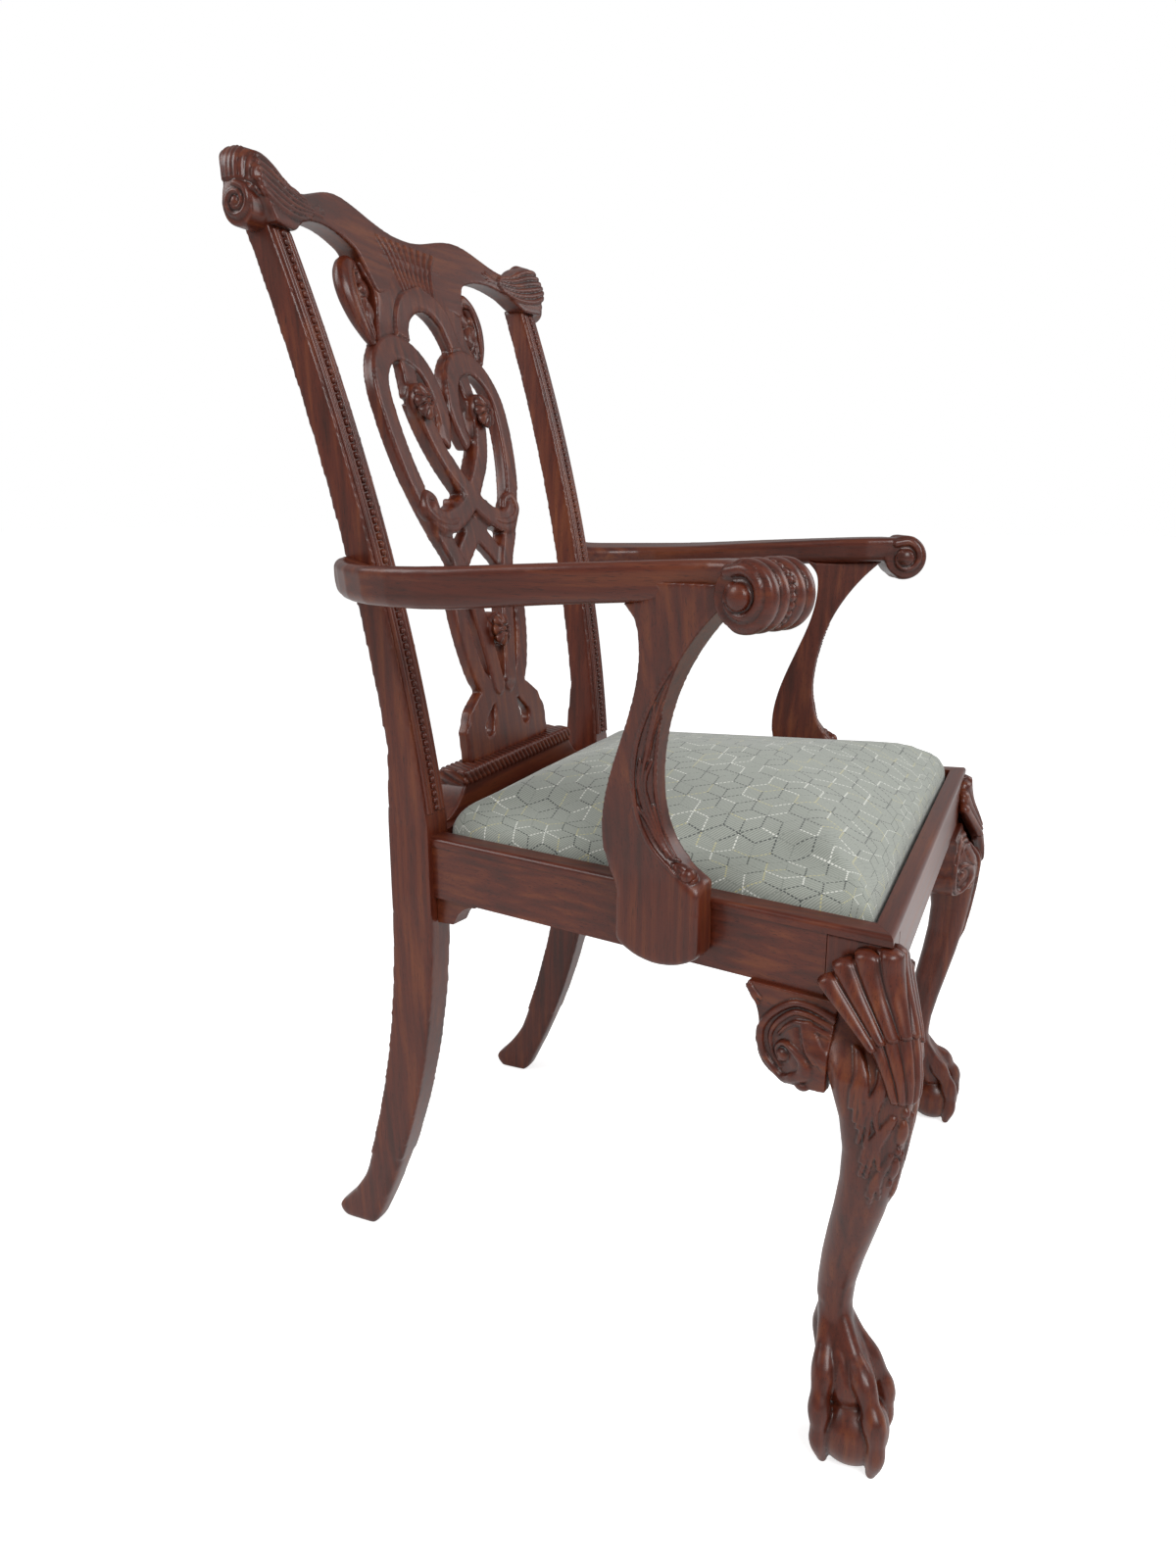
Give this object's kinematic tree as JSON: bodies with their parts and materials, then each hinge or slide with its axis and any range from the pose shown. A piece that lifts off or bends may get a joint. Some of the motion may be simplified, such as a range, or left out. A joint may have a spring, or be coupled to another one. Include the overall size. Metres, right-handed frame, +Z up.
{
  "type": "carver_armchair",
  "caption": "Carved mahogany carver armchair with an interlaced pierced splat, scrolled arms, cabriole legs on ball-and-claw feet and an upholstered drop-in seat.",
  "frame": {"origin": "On the floor under the middle of the chair's bounding box.", "axes": "+Z up, +X to the sitter's left, -Y the way the chair faces."},
  "size_m": [0.6704, 0.6004, 1.002],
  "materials": {
    "mahogany": "polished",
    "beech": "bare",
    "screw_steel": "bright",
    "jute_webbing": "woven",
    "lining_cloth": "woven",
    "seat_filling": "soft",
    "seat_fabric": "woven"
  },
  "bodies": {
    "frame": {"arm_dowels": "beech", "arm_left": "mahogany", "arm_right": "mahogany", "arm_support_left": "mahogany", "arm_support_right": "mahogany", "arm_support_screws": "screw_steel", "corner_block_front_left": "beech", "corner_block_front_right": "beech", "corner_block_rear_left": "beech", "corner_block_rear_right": "beech", "corner_block_screws": "screw_steel", "crest_rail": "mahogany", "front_leg_left": "mahogany", "front_leg_right": "mahogany", "front_seat_rail": "mahogany", "knee_bracket_front_left": "mahogany", "knee_bracket_front_right": "mahogany", "knee_bracket_side_left": "mahogany", "knee_bracket_side_right": "mahogany", "rear_bracket_left": "mahogany", "rear_bracket_right": "mahogany", "rear_post_left": "mahogany", "rear_post_right": "mahogany", "rear_seat_rail": "mahogany", "side_seat_rail_left": "mahogany", "side_seat_rail_right": "mahogany", "splat": "mahogany", "splat_shoe": "mahogany"},
    "drop_in_seat": {"seat_frame_side_left": "beech", "seat_frame_side_right": "beech", "seat_frame_front": "beech", "seat_frame_rear": "beech", "seat_frame_dowels": "beech", "webbing_lengthwise": "jute_webbing", "webbing_crosswise": "jute_webbing", "base_cloth": "lining_cloth", "dust_cover": "lining_cloth", "seat_padding": "seat_filling", "seat_cover": "seat_fabric"}
  },
  "joints": [
    {"name": "seat_lift", "type": "slide", "parent": "frame", "child": "drop_in_seat", "axis": [0, 0, 1], "range_m": [0, 0.15]}
  ]
}
